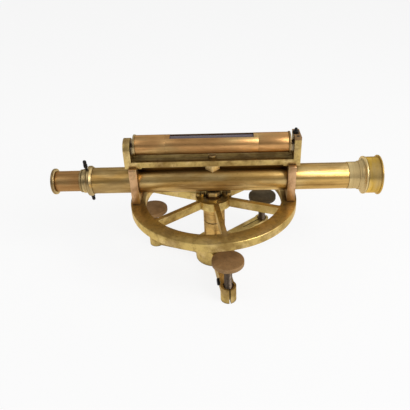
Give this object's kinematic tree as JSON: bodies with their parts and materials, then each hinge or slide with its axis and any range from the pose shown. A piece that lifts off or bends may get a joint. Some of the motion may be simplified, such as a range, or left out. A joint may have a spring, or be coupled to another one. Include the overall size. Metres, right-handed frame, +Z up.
{
  "type": "theodolite",
  "caption": "Brass surveying theodolite: spoked horizontal circle on a three-armed levelling base, telescope in two standards, adjustable spirit level on top.",
  "frame": {"origin": "centre of the tripod socket's mouth in the underside of the base", "axes": "+Z up along the vertical axis, +X along the telescope towards its objective, -Y towards the side that the picture shows"},
  "size_m": [0.3952, 0.2064, 0.1803],
  "materials": {
    "cast_brass": "aged, satin",
    "turned_brass": "aged, turned",
    "frame_brass": "greenish, satin",
    "copper_brass": "pinkish patina, satin",
    "polished_brass": "polished",
    "bronzed_brass": "bronzed, brown",
    "blackened_steel": "blackened",
    "steel": "turned",
    "optical_glass": "polished",
    "spirit": "clear liquid",
    "cork": "cork"
  },
  "bodies": {
    "base": {"tribrach": "cast_brass", "column": "turned_brass", "spindle": "steel", "thrust_washer": "steel", "hub_washer": "turned_brass", "hub_nut": "turned_brass"},
    "alidade": {"horizontal_circle": "cast_brass", "socket": "turned_brass", "hub_screws": "turned_brass", "standard_left": "copper_brass", "standard_right": "copper_brass", "standard_screws": "turned_brass", "telescope_tube": "turned_brass", "light_stops": "turned_brass", "objective_cell": "turned_brass", "flint_lens": "optical_glass", "crown_lens": "optical_glass", "lens_ring": "turned_brass", "level_frame": "frame_brass", "frame_screws": "turned_brass", "centre_post": "turned_brass", "centre_screw": "turned_brass", "adjuster_cap": "bronzed_brass", "cap_screws": "bronzed_brass"},
    "focusing_draw": {"reticle_collar": "turned_brass", "draw_tube": "turned_brass", "ocular_sleeve": "copper_brass", "reticle_ring": "turned_brass", "cross_hairs": "steel", "capstan_screws": "blackened_steel"},
    "eyepiece": {"eye_cap": "turned_brass", "eyepiece_barrel": "turned_brass", "eye_lens": "optical_glass", "field_lens": "optical_glass", "lens_spacer": "turned_brass"},
    "ray_shade": {"ray_shade": "polished_brass"},
    "level": {"level_sleeve": "turned_brass", "level_cap_left": "copper_brass", "level_cap_right": "copper_brass", "level_plug_left": "turned_brass", "level_plug_right": "turned_brass", "pivot_stud": "turned_brass", "lift_stud": "turned_brass", "vial": "optical_glass", "spirit": "spirit", "vial_packing": "cork"},
    "adjuster": {"adjusting_screw": "blackened_steel"},
    "foot_front": {"levelling_screw_front": "bronzed_brass", "levelling_knob_front": "bronzed_brass"},
    "clamp_front": {"clamp_screw_front": "blackened_steel"},
    "foot_right": {"levelling_screw_right": "bronzed_brass", "levelling_knob_right": "bronzed_brass"},
    "clamp_right": {"clamp_screw_right": "blackened_steel"},
    "foot_left": {"levelling_screw_left": "bronzed_brass", "levelling_knob_left": "bronzed_brass"},
    "clamp_left": {"clamp_screw_left": "blackened_steel"}
  },
  "joints": [
    {"name": "azimuth", "type": "hinge", "parent": "base", "child": "alidade", "pos_m": [0, 0, 0.0872], "axis": [0, 0, 1], "continuous": true},
    {"name": "focus", "type": "slide", "parent": "alidade", "child": "focusing_draw", "axis": [-1, 0, 0], "range_m": [0, 0.04]},
    {"name": "eyepiece_slide", "type": "slide", "parent": "focusing_draw", "child": "eyepiece", "axis": [-1, 0, 0], "range_m": [0, 0.012]},
    {"name": "shade_slide", "type": "slide", "parent": "alidade", "child": "ray_shade", "axis": [1, 0, 0], "range_m": [0, 0.007]},
    {"name": "level_tilt", "type": "hinge", "parent": "alidade", "child": "level", "pos_m": [-0.0965, 0, 0.163], "axis": [0, -1, 0], "range_deg": [-0.5, 0.5]},
    {"name": "adjuster_turn", "type": "hinge", "parent": "alidade", "child": "adjuster", "pos_m": [0.0976, 0, 0.1737], "axis": [0, 0, 1], "range_deg": [-1221, 1221]},
    {"name": "levelling_front", "type": "slide", "parent": "base", "child": "foot_front", "axis": [0, 0, 1], "range_m": [-0.03, 0.012]},
    {"name": "levelling_right", "type": "slide", "parent": "base", "child": "foot_right", "axis": [0, 0, 1], "range_m": [-0.03, 0.012]},
    {"name": "levelling_left", "type": "slide", "parent": "base", "child": "foot_left", "axis": [0, 0, 1], "range_m": [-0.03, 0.012]},
    {"name": "clamp_turn_front", "type": "hinge", "parent": "base", "child": "clamp_front", "pos_m": [0.01265, -0.06824, 0.0124], "axis": [-0.9833, -0.1822, 0], "range_deg": [0, 180]},
    {"name": "clamp_turn_right", "type": "hinge", "parent": "base", "child": "clamp_right", "pos_m": [0.05277, 0.04507, 0.0124], "axis": [0.6494, -0.7604, 0], "range_deg": [0, 180]},
    {"name": "clamp_turn_left", "type": "hinge", "parent": "base", "child": "clamp_left", "pos_m": [-0.06542, 0.02317, 0.0124], "axis": [0.3338, 0.9426, 0], "range_deg": [0, 180]}
  ],
  "couplings": [
    {"joint": "adjuster_turn", "follows": "level_tilt", "ratio": -2439.1}
  ]
}
